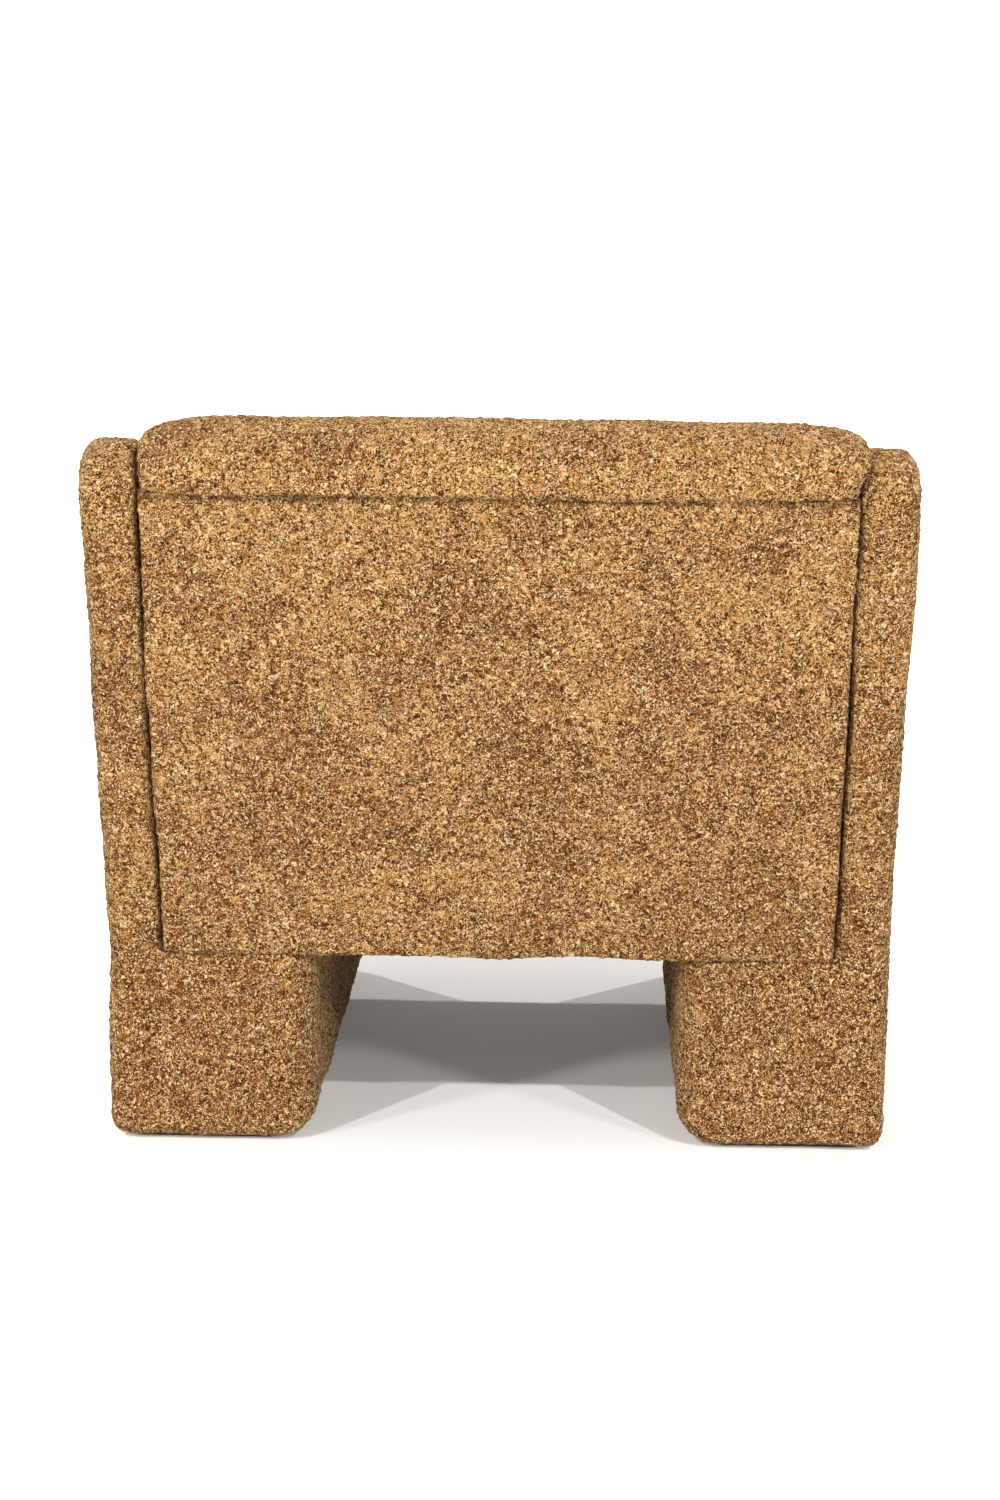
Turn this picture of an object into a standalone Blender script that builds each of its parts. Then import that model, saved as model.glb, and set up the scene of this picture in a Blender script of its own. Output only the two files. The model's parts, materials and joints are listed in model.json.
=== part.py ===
"""Lounge armchair with slab sides, a raked back with a rolled top, and a lift-off seat over a storage well.

Metres, +Z up. The chair faces -Y and stands on z = 0. "Left" is the sitter's left, at +X.
"""

import math

import bmesh
import bpy
from mathutils import Vector

# Driving dimensions
HALF_WIDTH = 0.390          # outer face of a side
SIDE_THICKNESS = 0.055      # side panel above the foot
FOOT_WIDTH = 0.208          # foot, across the chair
FOOT_DEPTH = 0.700          # foot, front to rear
FOOT_TOP = 0.199            # underside of the body
REAR_PLANE = 0.283          # rear face of the feet
RAKE = math.radians(16.5)   # lean of the back from vertical
SIDE_TOP = 0.7227           # where the raked rear edge meets the arm's top line
ARM_FRONT_TOP = 0.570       # where the arm's top line meets its front edge
SIDE_TOP_RADIUS = 0.045
ARM_RADIUS = 0.070
COVER_BOTTOM = 0.0035       # the covers stop just above the floor
COVER_WALL = 0.018          # padding and fabric of a side cover
COVER_ROUNDING = 0.016
GAP = 0.0003                # between touching pieces
CUT_PAST = 0.010            # a cutter reaches this far past the face it opens
CUT_INTO = 0.0005           # two solids of one cutter overlap by this

# Derived places
FRONT_PLANE = REAR_PLANE - FOOT_DEPTH
INNER_FACE = HALF_WIDTH - SIDE_THICKNESS
FOOT_INNER = HALF_WIDTH - FOOT_WIDTH
BACK_HALF_WIDTH = INNER_FACE - 0.003

# Base plate and foot box
PLATE_TOP = 0.0157
PLATE_INSET = 0.022         # from the outer, front and rear faces of the cover
PLATE_INNER_INSET = 0.040   # from its inner face, past the rounding there
PLATE_CORNER = 0.012
BOARD_BOTTOM = 0.0160
FOOT_BOX_INSET = 0.022
FOOT_BOX_WALL = 0.015

# Back, measured in its raked frame: x, depth (rearward), rise (up the slope)
SEAM_RISE = 0.487           # sewn seam below the roll
ROLL_PROUD = 0.006          # the roll stands proud of the rear plane
ROLL_REAR_RISE = 0.566      # sharp corner before rounding, rear
ROLL_FRONT_RISE = 0.501     # sharp corner before rounding, front
ROLL_REAR_RADIUS = 0.046
ROLL_FRONT_RADIUS = 0.062
BACK_THICKNESS = 0.150      # rear plane to the face that is leaned on
CUSHION_FOOT_RISE = 0.066   # lower edge of the back cushion
CUSHION_WALL = 0.014        # cover with its fibre wrap
CUSHION_END_ROUNDING = 0.028
SEAM_RADIUS = 0.006
CUSHION_FOOT_RADII = (0.020, 0.010)
PANEL_FOOT = 0.0008
PANEL_ROUNDING = 0.004
PANEL_DEPTH = (-0.012, 0.004)
HARDBOARD_DEPTH = (-0.0163, -0.0123)
POST_DEPTH = (-0.0616, -0.0166)
WEBBING_DEPTH = (-0.0640, -0.0619)
HARDBOARD_INSET = 0.002     # from the panel's sides
HARDBOARD_RISES = (0.004, 0.484)
POST_WIDTH = 0.045
POST_FOOT = 0.006
RAIL_HEIGHT = 0.045
MIDDLE_RAIL_RISE = 0.235
STRAP_INSET = 0.012         # from the posts' outer faces
STRAP_COUNT = 4
STRAP_WIDTH = 0.060
STRAP_PITCH = 0.100
FIRST_STRAP_RISE = 0.085

# Fasteners: head from and to, measured from the face they go in by, and radii
BOLT_HEAD = (0.0015, 0.0060)
BOLT_HEAD_RADIUS = 0.0065
BOLT_RADIUS = 0.0030
BOLT_BITE = 0.016           # into the side board
RAIL_BOLT_PLACES = (0.09, 0.27, 0.45)   # behind the front plane
POST_BOLT_RISES = (0.12, 0.38)
SCREW_HEAD = (0.0040, 0.0072)
SCREW_HEAD_RADIUS = 0.0042
SCREW_RADIUS = 0.0020
SCREW_TIP = 0.034
SCREW_FROM_END = 0.06
RECESS_MARGIN = 0.0012      # a head's recess is this much wider all round

# Seat box, as heights unless the name says otherwise
DUST_CLOTH = (0.1980, 0.1995)
FLOOR_BOARD = (0.1998, 0.2088)
FLOOR_REAR = REAR_PLANE - 0.017
RAIL_SPAN = (0.2091, 0.2900)
RAIL_THICKNESS = 0.025
LINING = 0.002
LINING_TOP = 0.288
APRON_PROUD = 0.006         # in front of the sides
APRON_BACK = 0.009          # behind the front plane
APRON_SPAN = (0.1996, 0.2993)
APRON_ROUNDING = 0.0045
WELL_REAR = REAR_PLANE - 0.154

# Seat unit
DECK = (0.2903, 0.3023)
DECK_HALF_WIDTH = INNER_FACE - 0.004
DECK_FRONT = FRONT_PLANE + 0.0105
DECK_REAR = WELL_REAR + 0.024
VENT_RADIUS = 0.016
VENT_PITCH = (0.17, 0.20)
BATTEN_WIDTH = 0.022
BATTEN_BOTTOM = 0.2723
BATTEN_PLAY = 0.0035        # beside the lining
BATTEN_END_PLAY = 0.006
TAB = (0.3026, 0.3050)
TAB_HALF_WIDTH = 0.022
TAB_END = 0.256
TAB_THICKNESS = 0.003
TAB_CLEARANCE = 0.0006
TAB_TUCK = 0.055            # held between the deck and the cushion
SEAT_CUSHION = (0.3053, 0.4320)
SEAT_DIP = 0.006            # the seat's rear edge is this much lower
SEAT_PROUD = 0.014
SEAT_BACK_PLAY = 0.004      # to the back cushion
SEAT_RADII = (0.010, 0.010, 0.028, 0.034)
SEAT_HOLLOW_RADII = (0, 0, 0.018, 0.024)
SEAT_WALL = 0.010
BASE_CLOTH = 0.002


def clear_scene():
    for obj in list(bpy.data.objects):
        bpy.data.objects.remove(obj, do_unlink=True)


def make_material(name, colour, roughness, metallic=0.0):
    material = bpy.data.materials.new(name)
    material.use_nodes = True
    shader = material.node_tree.nodes["Principled BSDF"]
    shader.inputs["Base Color"].default_value = (*colour, 1.0)
    shader.inputs["Roughness"].default_value = roughness
    shader.inputs["Metallic"].default_value = metallic
    return material


FINISHES = {
    "boucle": ((0.52, 0.33, 0.13), 0.95, 0.0),
    "plywood": ((0.66, 0.50, 0.31), 0.60, 0.0),
    "timber": ((0.58, 0.41, 0.24), 0.60, 0.0),
    "hardboard": ((0.30, 0.19, 0.11), 0.70, 0.0),
    "foam": ((0.86, 0.82, 0.68), 0.90, 0.0),
    "black_cloth": ((0.020, 0.020, 0.022), 0.90, 0.0),
    "webbing": ((0.10, 0.10, 0.10), 0.80, 0.0),
    "lining": ((0.34, 0.29, 0.23), 0.90, 0.0),
    "black_plastic": ((0.015, 0.015, 0.015), 0.50, 0.0),
    "zinc_steel": ((0.62, 0.62, 0.60), 0.35, 1.0),
}


def add_object(name, mesh_data, finish, parent=None):
    """Turns a bmesh into a named object with its own material."""
    bmesh.ops.recalc_face_normals(mesh_data, faces=mesh_data.faces)
    mesh = bpy.data.meshes.new(name)
    mesh_data.to_mesh(mesh)
    mesh_data.free()
    obj = bpy.data.objects.new(name, mesh)
    bpy.context.scene.collection.objects.link(obj)
    if finish is not None:
        mesh.materials.append(make_material(name, *FINISHES[finish]))
    obj.parent = parent
    return obj


def box(low, high, target=None):
    """A box between two corners, added to the target bmesh."""
    target = target or bmesh.new()
    made = bmesh.ops.create_cube(target, size=1.0)
    size = Vector(high) - Vector(low)
    middle = (Vector(high) + Vector(low)) / 2
    bmesh.ops.scale(target, vec=size, verts=made["verts"])
    bmesh.ops.translate(target, vec=middle, verts=made["verts"])
    return target


def soft_box(low, high, radius, segments=2):
    """A box with all its edges rounded."""
    target = box(low, high)
    bmesh.ops.bevel(
        target, geom=list(target.edges), offset=radius, segments=segments, affect="EDGES", profile=0.5
    )
    return target


def cylinder(target, start, end, radius, sides=12):
    """A capped cylinder from start to end."""
    start, end = Vector(start), Vector(end)
    along = end - start
    turn = Vector((0, 0, 1)).rotation_difference(along).to_matrix().to_4x4()
    made = bmesh.ops.create_cone(
        target, cap_ends=True, segments=sides, radius1=radius, radius2=radius, depth=along.length
    )
    bmesh.ops.transform(target, matrix=turn, verts=made["verts"])
    bmesh.ops.translate(target, vec=(start + end) / 2, verts=made["verts"])


def extruded(outline, start, end):
    """A prism: an outline of (y, z), or of (depth, rise), extruded along X."""
    target = bmesh.new()
    near = [target.verts.new((start, a, b)) for a, b in outline]
    far = [target.verts.new((end, a, b)) for a, b in outline]
    target.faces.new(near)
    target.faces.new(list(reversed(far)))
    count = len(outline)
    for index in range(count):
        after = (index + 1) % count
        target.faces.new((near[index], far[index], far[after], near[after]))
    return target


def rounded(corners, radii, steps=4):
    """Replaces each corner of a closed outline by an arc of its radius."""
    points = []
    count = len(corners)
    for index, radius in enumerate(radii):
        here = Vector(corners[index])
        before = (Vector(corners[index - 1]) - here).normalized()
        after = (Vector(corners[(index + 1) % count]) - here).normalized()
        if radius == 0:
            points.append(tuple(here))
            continue
        half = before.angle(after) / 2
        centre = here + (before + after).normalized() * (radius / math.sin(half))
        first = here + before * (radius / math.tan(half)) - centre
        last = here + after * (radius / math.tan(half)) - centre
        for step in range(steps + 1):
            way = first.slerp(last, step / steps).normalized()
            points.append(tuple(centre + way * radius))
    return points


def inset(corners, distance):
    """Moves every edge of an anticlockwise outline inward by distance."""
    moved = []
    count = len(corners)
    for index in range(count):
        here = Vector(corners[index])
        into = (here - Vector(corners[index - 1])).normalized()
        out = (Vector(corners[(index + 1) % count]) - here).normalized()
        normal_in = Vector((-into.y, into.x))
        normal_out = Vector((-out.y, out.x))
        bisector = (normal_in + normal_out).normalized()
        moved.append(tuple(here + bisector * (distance / bisector.dot(normal_in))))
    return moved


def cut(obj, cutter, own_overlaps=False):
    """Subtracts a hidden cutter from an object. A cutter made of overlapping solids needs own_overlaps."""
    modifier = obj.modifiers.new("cut_" + cutter.name, "BOOLEAN")
    modifier.operation = "DIFFERENCE"
    modifier.solver = "EXACT"
    modifier.use_self = own_overlaps
    modifier.object = cutter
    cutter.hide_render = True
    cutter.display_type = "WIRE"


def side_corners(margin):
    """The side's outline in (y, z), anticlockwise from the bottom front, moved inward by margin."""
    lean = math.tan(RAKE)
    corners = [
        (FRONT_PLANE, COVER_BOTTOM),
        (REAR_PLANE, COVER_BOTTOM),
        (REAR_PLANE, FOOT_TOP),
        (REAR_PLANE + (SIDE_TOP - FOOT_TOP) * lean, SIDE_TOP),
        (FRONT_PLANE, ARM_FRONT_TOP),
    ]
    return inset(corners, margin)


def side_shape(sign, margin, bottom):
    """A side's closed body: a thin panel with a wide foot, inset by margin, down to the bottom height."""
    corners = side_corners(margin)
    front, rear = corners[0][0], corners[1][0]
    shelf = FOOT_TOP - margin
    radii = [0, SIDE_TOP_RADIUS - margin, ARM_RADIUS - margin, 0]
    upper = rounded([(rear, shelf), *corners[3:], (front, shelf)], radii)
    outer_x = sign * (HALF_WIDTH - margin)
    inner_x = sign * (INNER_FACE + margin)
    foot_x = sign * (FOOT_INNER + margin)
    target = bmesh.new()

    def vertex(x, point):
        return target.verts.new((x, *point))

    outer = [vertex(outer_x, point) for point in upper]
    inner = [vertex(inner_x, point) for point in upper]
    low_outer = [vertex(outer_x, (front, bottom)), vertex(outer_x, (rear, bottom))]
    low_foot = [vertex(foot_x, (front, bottom)), vertex(foot_x, (rear, bottom))]
    high_foot = [vertex(foot_x, (front, shelf)), vertex(foot_x, (rear, shelf))]
    target.faces.new([*low_outer, *outer])
    target.faces.new(inner)
    for index in range(len(upper) - 1):
        target.faces.new((outer[index], outer[index + 1], inner[index + 1], inner[index]))
    target.faces.new((low_outer[0], outer[-1], inner[-1], high_foot[0], low_foot[0]))
    target.faces.new((low_outer[1], outer[0], inner[0], high_foot[1], low_foot[1]))
    target.faces.new((*low_foot, *reversed(low_outer)))
    target.faces.new((*low_foot, *reversed(high_foot)))
    target.faces.new((high_foot[0], high_foot[1], inner[0], inner[-1]))
    return target


def round_cover_edges(target, sign):
    """Rounds a side cover's edges, except those against the body: its inner face and the top of its foot."""
    bmesh.ops.recalc_face_normals(target, faces=target.faces)
    rounded_edges = []
    for edge in target.edges:
        ends = [vert.co for vert in edge.verts]
        against_body = all(abs(end.x - sign * INNER_FACE) < 1e-6 for end in ends)
        on_shelf = all(abs(end.z - FOOT_TOP) < 1e-6 for end in ends)
        if against_body or on_shelf or edge.calc_face_angle() < math.radians(50):
            continue
        rounded_edges.append(edge)
    bmesh.ops.bevel(target, geom=rounded_edges, offset=COVER_ROUNDING, segments=2, affect="EDGES", profile=0.5)


def build_side(name, sign, bolt_cutter):
    """One side: cover, board, foot box, base plate and its screws."""
    shape = side_shape(sign, 0.0, COVER_BOTTOM)
    round_cover_edges(shape, sign)
    cover = add_object(name + "_side_cover", shape, "boucle")
    cavity = side_shape(sign, COVER_WALL, -CUT_PAST)
    cut(cover, add_object(name + "_side_cavity", cavity, None))
    cut(cover, bolt_cutter, True)

    margin = COVER_WALL + GAP
    corners = side_corners(margin)
    corners[0] = (corners[0][0], BOARD_BOTTOM)
    corners[1] = (corners[1][0], BOARD_BOTTOM)
    outline = rounded(corners, [0, 0, 0, SIDE_TOP_RADIUS - margin, ARM_RADIUS - margin])
    board_inner = INNER_FACE + margin
    board = extruded(outline, sign * board_inner, sign * (HALF_WIDTH - margin))
    cut(add_object(name + "_side_board", board, "plywood"), bolt_cutter, True)
    build_foot(name, sign, board_inner - GAP)


def build_foot(name, sign, outer):
    """The hollow plywood box inside a foot, the base plate under it and the screws between them."""
    front, rear = FRONT_PLANE + FOOT_BOX_INSET, REAR_PLANE - FOOT_BOX_INSET
    inner = FOOT_INNER + FOOT_BOX_INSET
    top = FOOT_TOP - COVER_WALL - GAP
    body = box_between(sign, (inner, front, BOARD_BOTTOM), (outer, rear, top))
    foot_box = add_object(name + "_foot_box", body, "plywood")
    wall = FOOT_BOX_WALL
    hollow_low = (inner + wall, front + wall, -CUT_PAST)
    hollow_high = (outer - wall, rear - wall, top - wall)
    hollow = box_between(sign, hollow_low, hollow_high)
    cut(foot_box, add_object(name + "_foot_hollow", hollow, None))

    plate = add_object(name + "_base_plate", base_plate(sign), "black_plastic")
    # The inner wall stands past the plate's rounded edge, so its screws go through the end walls.
    xs = (FOOT_INNER + PLATE_INNER_INSET + PLATE_CORNER, outer - wall / 2)
    places = screw_places(xs, (front + wall / 2, rear - wall / 2))
    add_base_screws(name, sign, places, plate, foot_box)


def base_plate(sign):
    """The plate that a side stands on: a slab with rounded corners, well inside the cover's outline."""
    low = (FOOT_INNER + PLATE_INNER_INSET, FRONT_PLANE + PLATE_INSET, 0.0)
    high = (HALF_WIDTH - PLATE_INSET, REAR_PLANE - PLATE_INSET, PLATE_TOP)
    target = box_between(sign, low, high)
    upright = [edge for edge in target.edges if abs(edge.verts[0].co.z - edge.verts[1].co.z) > PLATE_TOP / 2]
    bmesh.ops.bevel(target, geom=upright, offset=PLATE_CORNER, segments=4, affect="EDGES", profile=0.5)
    return target


def box_between(sign, low, high):
    """A box given for the left side, mirrored to the right when sign is -1."""
    xs = sorted((sign * low[0], sign * high[0]))
    return box((xs[0], low[1], low[2]), (xs[1], high[1], high[2]))


def screw_places(xs, ys):
    """One screw up into each end wall on the inner side, and two up into the outer wall."""
    front, rear = ys
    inner, outer = xs
    return [(inner, front), (inner, rear), (outer, front + SCREW_FROM_END), (outer, rear - SCREW_FROM_END)]


def add_base_screws(name, sign, places, plate, foot_box):
    """Recessed screws through the base plate into the foot box, with their clearance holes."""
    holes = bmesh.new()
    for number, (x, y) in enumerate(places, 1):
        screw = bmesh.new()
        for target, extra in ((screw, 0.0), (holes, GAP)):
            foot = (sign * x, y, SCREW_HEAD[0] - extra)
            neck = (sign * x, y, SCREW_HEAD[1] + extra)
            tip = (sign * x, y, SCREW_TIP + extra)
            head_and_shank(target, foot, neck, tip, SCREW_HEAD_RADIUS + extra, SCREW_RADIUS + extra)
        mouth = (sign * x, y, -CUT_PAST)
        seat = (sign * x, y, SCREW_HEAD[0] + CUT_INTO)
        cylinder(holes, mouth, seat, SCREW_HEAD_RADIUS + RECESS_MARGIN, 10)
        add_object(f"{name}_base_screw_{number}", screw, "zinc_steel")
    cutter = add_object(name + "_base_screw_holes", holes, None)
    cut(plate, cutter, True)
    cut(foot_box, cutter, True)


def head_and_shank(target, start, neck, end, head_radius, shank_radius, sides=8):
    """A pan-headed fastener turned about the line from start to end."""
    start, neck, end = Vector(start), Vector(neck), Vector(end)
    axis = (end - start).normalized()
    turn = Vector((0, 0, 1)).rotation_difference(axis).to_matrix()
    rings = []
    for centre, radius in ((start, head_radius), (neck, head_radius), (neck, shank_radius), (end, shank_radius)):
        ring = []
        for step in range(sides):
            angle = 2 * math.pi * step / sides
            offset = turn @ Vector((radius * math.cos(angle), radius * math.sin(angle), 0))
            ring.append(target.verts.new(centre + offset))
        rings.append(ring)
    target.faces.new(reversed(rings[0]))
    target.faces.new(rings[-1])
    for lower, upper in zip(rings, rings[1:]):
        for step in range(sides):
            after = (step + 1) % sides
            target.faces.new((lower[step], lower[after], upper[after], upper[step]))


def raked_place(depth, rise):
    """World (y, z) of a point given by its depth and rise in the back's raked frame."""
    y = REAR_PLANE + rise * math.sin(RAKE) + depth * math.cos(RAKE)
    z = FOOT_TOP + rise * math.cos(RAKE) - depth * math.sin(RAKE)
    return y, z


def bolt_places():
    """Start points of the frame bolts on the left side: three in the side rail and two in the back post."""
    rail_x = INNER_FACE - GAP - RAIL_THICKNESS
    post_x = INNER_FACE - GAP - POST_WIDTH
    height = (RAIL_SPAN[0] + RAIL_SPAN[1]) / 2
    places = [(rail_x, FRONT_PLANE + behind, height) for behind in RAIL_BOLT_PLACES]
    middle = (POST_DEPTH[0] + POST_DEPTH[1]) / 2
    places += [(post_x, *raked_place(middle, rise)) for rise in POST_BOLT_RISES]
    return places


def build_bolts():
    """The frame bolts, which hold rails and posts to the side boards, and the cutter for their holes."""
    holes = bmesh.new()
    end_x = INNER_FACE + COVER_WALL + BOLT_BITE
    for name, sign in (("left", 1), ("right", -1)):
        for number, (x, y, z) in enumerate(bolt_places(), 1):
            bolt = bmesh.new()
            for target, extra in ((bolt, 0.0), (holes, GAP)):
                start = (sign * (x + BOLT_HEAD[0] - extra), y, z)
                neck = (sign * (x + BOLT_HEAD[1] + extra), y, z)
                end = (sign * (end_x + extra), y, z)
                head_and_shank(target, start, neck, end, BOLT_HEAD_RADIUS + extra, BOLT_RADIUS + extra)
            mouth = (sign * (x - CUT_PAST), y, z)
            seat = (sign * (x + BOLT_HEAD[0] + CUT_INTO), y, z)
            cylinder(holes, mouth, seat, BOLT_HEAD_RADIUS + RECESS_MARGIN, 10)
            add_object(f"{name}_frame_bolt_{number}", bolt, "zinc_steel")
    return add_object("frame_bolt_holes", holes, None)


def raked_empty():
    """The back's frame: local Z runs up the slope and local Y points rearward, square to it."""
    empty = bpy.data.objects.new("back_rake", None)
    bpy.context.scene.collection.objects.link(empty)
    empty.location = (0, REAR_PLANE, FOOT_TOP)
    empty.rotation_euler = (-RAKE, 0, 0)
    return empty


def cushion_corners():
    """The back cushion's hooked outline in (depth, rise): down the front, with the roll over the top rail."""
    rear = WEBBING_DEPTH[0] - GAP
    return [
        (ROLL_PROUD, SEAM_RISE),
        (ROLL_PROUD, ROLL_REAR_RISE),
        (-BACK_THICKNESS, ROLL_FRONT_RISE),
        (-BACK_THICKNESS, CUSHION_FOOT_RISE),
        (rear, CUSHION_FOOT_RISE),
        (rear, SEAM_RISE),
    ]


def build_back_frame(rake, bolt_cutter):
    """Two posts and three rails, with elastic webbing across the front."""
    front, rear = POST_DEPTH
    post_outer = INNER_FACE - GAP
    post_inner = post_outer - POST_WIDTH
    top = SEAM_RISE - GAP
    for name, sign in (("left", 1), ("right", -1)):
        post = box_between(sign, (post_inner, front, POST_FOOT), (post_outer, rear, top))
        cut(add_object(name + "_back_post", post, "timber", rake), bolt_cutter, True)
    rail_half = post_inner - GAP
    rails = {
        "back_top_rail": top - RAIL_HEIGHT,
        "back_middle_rail": MIDDLE_RAIL_RISE,
        "back_bottom_rail": POST_FOOT,
    }
    for name, low in rails.items():
        rail = box((-rail_half, front, low), (rail_half, rear, low + RAIL_HEIGHT))
        add_object(name, rail, "timber", rake)
    strap_half = post_outer - STRAP_INSET
    for number in range(STRAP_COUNT):
        low = FIRST_STRAP_RISE + STRAP_PITCH * number
        strap = box((-strap_half, WEBBING_DEPTH[0], low), (strap_half, WEBBING_DEPTH[1], low + STRAP_WIDTH))
        add_object(f"back_webbing_{number + 1}", strap, "webbing", rake)


def round_roll_ends(target):
    """Rounds the ends of the roll and of the face that is leaned on; the rear edges stay against the posts."""
    bmesh.ops.recalc_face_normals(target, faces=target.faces)
    half_depth = -BACK_THICKNESS / 2

    def at_end(edge):
        ends = [vert.co for vert in edge.verts]
        along = abs(ends[0].x - ends[1].x) < GAP
        return along and all(end.z > SEAM_RISE + SEAM_RADIUS / 2 or end.y < half_depth for end in ends)

    chosen = [edge for edge in target.edges if at_end(edge)]
    bmesh.ops.bevel(target, geom=chosen, offset=CUSHION_END_ROUNDING, segments=3, affect="EDGES", profile=0.5)


def cushion_hollow(margin, foot):
    """The outline inside the back cushion's cover, inset by margin and open down to the rise called foot."""
    corners = inset(cushion_corners(), margin)
    corners[3] = (corners[3][0], foot)
    corners[4] = (corners[4][0], foot)
    return rounded(corners, [0, ROLL_REAR_RADIUS - margin, ROLL_FRONT_RADIUS - margin, 0, 0, 0], 5)


def build_back_covers(rake):
    """The back cushion's cover and foam, the hardboard panel and the outside cover."""
    half = BACK_HALF_WIDTH
    radii = [SEAM_RADIUS, ROLL_REAR_RADIUS, ROLL_FRONT_RADIUS, *CUSHION_FOOT_RADII, 0]
    shape = extruded(rounded(cushion_corners(), radii, 5), -half, half)
    round_roll_ends(shape)
    cover = add_object("back_cushion_cover", shape, "boucle", rake)
    wall = CUSHION_WALL
    cavity = extruded(cushion_hollow(wall, CUSHION_FOOT_RISE - CUT_PAST), -half + wall, half - wall)
    cut(cover, add_object("back_cushion_cavity", cavity, None, rake))
    skin = wall + GAP
    foam = extruded(cushion_hollow(skin, CUSHION_FOOT_RISE), -half + skin, half - skin)
    add_object("back_foam", foam, "foam", rake)

    panel_low = (-half, PANEL_DEPTH[0], PANEL_FOOT)
    panel_high = (half, PANEL_DEPTH[1], SEAM_RISE - GAP)
    add_object("outside_back_cover", soft_box(panel_low, panel_high, PANEL_ROUNDING), "boucle", rake)
    board_half = half - HARDBOARD_INSET
    board_low = (-board_half, HARDBOARD_DEPTH[0], HARDBOARD_RISES[0])
    board_high = (board_half, HARDBOARD_DEPTH[1], HARDBOARD_RISES[1])
    add_object("outside_back_board", box(board_low, board_high), "hardboard", rake)


def well_bounds():
    """Inner faces of the seat box: half width, front and rear."""
    half = INNER_FACE - GAP - RAIL_THICKNESS
    front = FRONT_PLANE + APRON_BACK + GAP + RAIL_THICKNESS
    return half, front, WELL_REAR


def build_seat_box(bolt_cutter):
    """Rails, floor board, lining, front apron and the dust cloth below."""
    half, front, rear = well_bounds()
    outer = INNER_FACE - GAP
    low, high = RAIL_SPAN
    add_object("front_rail", box((-outer, front - RAIL_THICKNESS, low), (outer, front, high)), "timber")
    add_object("rear_rail", box((-outer, rear, low), (outer, rear + RAIL_THICKNESS, high)), "timber")
    for name, sign in (("left", 1), ("right", -1)):
        rail = box_between(sign, (half, front + GAP, low), (outer, rear - GAP, high))
        cut(add_object(name + "_seat_rail", rail, "timber"), bolt_cutter, True)
    rail_front = front - RAIL_THICKNESS
    floor = box((-outer, rail_front, FLOOR_BOARD[0]), (outer, FLOOR_REAR, FLOOR_BOARD[1]))
    add_object("well_floor_board", floor, "plywood")
    cloth_half = FOOT_INNER - GAP
    cloth = box((-cloth_half, rail_front, DUST_CLOTH[0]), (cloth_half, FLOOR_REAR, DUST_CLOTH[1]))
    add_object("dust_cloth", cloth, "black_cloth")
    apron_low = (-outer, FRONT_PLANE - APRON_PROUD, APRON_SPAN[0])
    apron_high = (outer, rail_front - GAP, APRON_SPAN[1])
    add_object("front_apron_cover", soft_box(apron_low, apron_high, APRON_ROUNDING), "boucle")

    lining_low = Vector((-half + GAP, front + GAP, low))
    lining_high = Vector((half - GAP, rear - GAP, LINING_TOP))
    lining = add_object("well_lining", box(lining_low, lining_high), "lining")
    skin = Vector((LINING, LINING, LINING))
    space_high = lining_high - skin
    space_high.z = LINING_TOP + CUT_PAST
    cut(lining, add_object("well_space", box(lining_low + skin, space_high), None))


def seat_outline(margin, bottom):
    """The seat cushion's outline in (y, z), anticlockwise from the bottom front."""
    low, high = SEAT_CUSHION
    rear_top = high - SEAT_DIP
    lean = math.tan(RAKE)
    face_y = REAR_PLANE - BACK_THICKNESS / math.cos(RAKE) - SEAT_BACK_PLAY
    rear_low = face_y + (low - FOOT_TOP) * lean
    rear_high = face_y + (rear_top - FOOT_TOP) * lean
    front = FRONT_PLANE - SEAT_PROUD
    corners = inset([(front, low), (rear_low, low), (rear_high, rear_top), (front, high)], margin)
    corners[0] = (corners[0][0], bottom)
    corners[1] = (corners[1][0], bottom)
    return corners


def build_deck():
    """The seat's plywood deck with its vents, and the battens that locate it in the well."""
    half, front, rear = well_bounds()
    slab = box((-DECK_HALF_WIDTH, DECK_FRONT, DECK[0]), (DECK_HALF_WIDTH, DECK_REAR, DECK[1]))
    deck = add_object("seat_deck", slab, "plywood")
    vents = bmesh.new()
    middle = (front + rear) / 2
    for column in (-1, 0, 1):
        for row in (-0.5, 0.5):
            x, y = column * VENT_PITCH[0], middle + row * VENT_PITCH[1]
            cylinder(vents, (x, y, DECK[0] - CUT_PAST), (x, y, DECK[1] + CUT_PAST), VENT_RADIUS, 16)
    cut(deck, add_object("deck_vents", vents, None))
    outer = half - GAP - LINING - BATTEN_PLAY
    for name, sign in (("left", 1), ("right", -1)):
        low = (outer - BATTEN_WIDTH, front + BATTEN_END_PLAY, BATTEN_BOTTOM)
        high = (outer, rear - BATTEN_END_PLAY, DECK[0] - GAP)
        add_object(name + "_deck_batten", box_between(sign, low, high), "timber")


def build_pull_tab():
    """A strap that hangs over the apron, held between the deck and the cushion."""
    inner = FRONT_PLANE - APRON_PROUD - TAB_CLEARANCE
    outer = inner - TAB_THICKNESS
    tuck = FRONT_PLANE + TAB_TUCK
    low, high = TAB
    outline = [(outer, TAB_END), (inner, TAB_END), (inner, low), (tuck, low), (tuck, high), (outer, high)]
    add_object("seat_pull_tab", extruded(outline, -TAB_HALF_WIDTH, TAB_HALF_WIDTH), "webbing")


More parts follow.
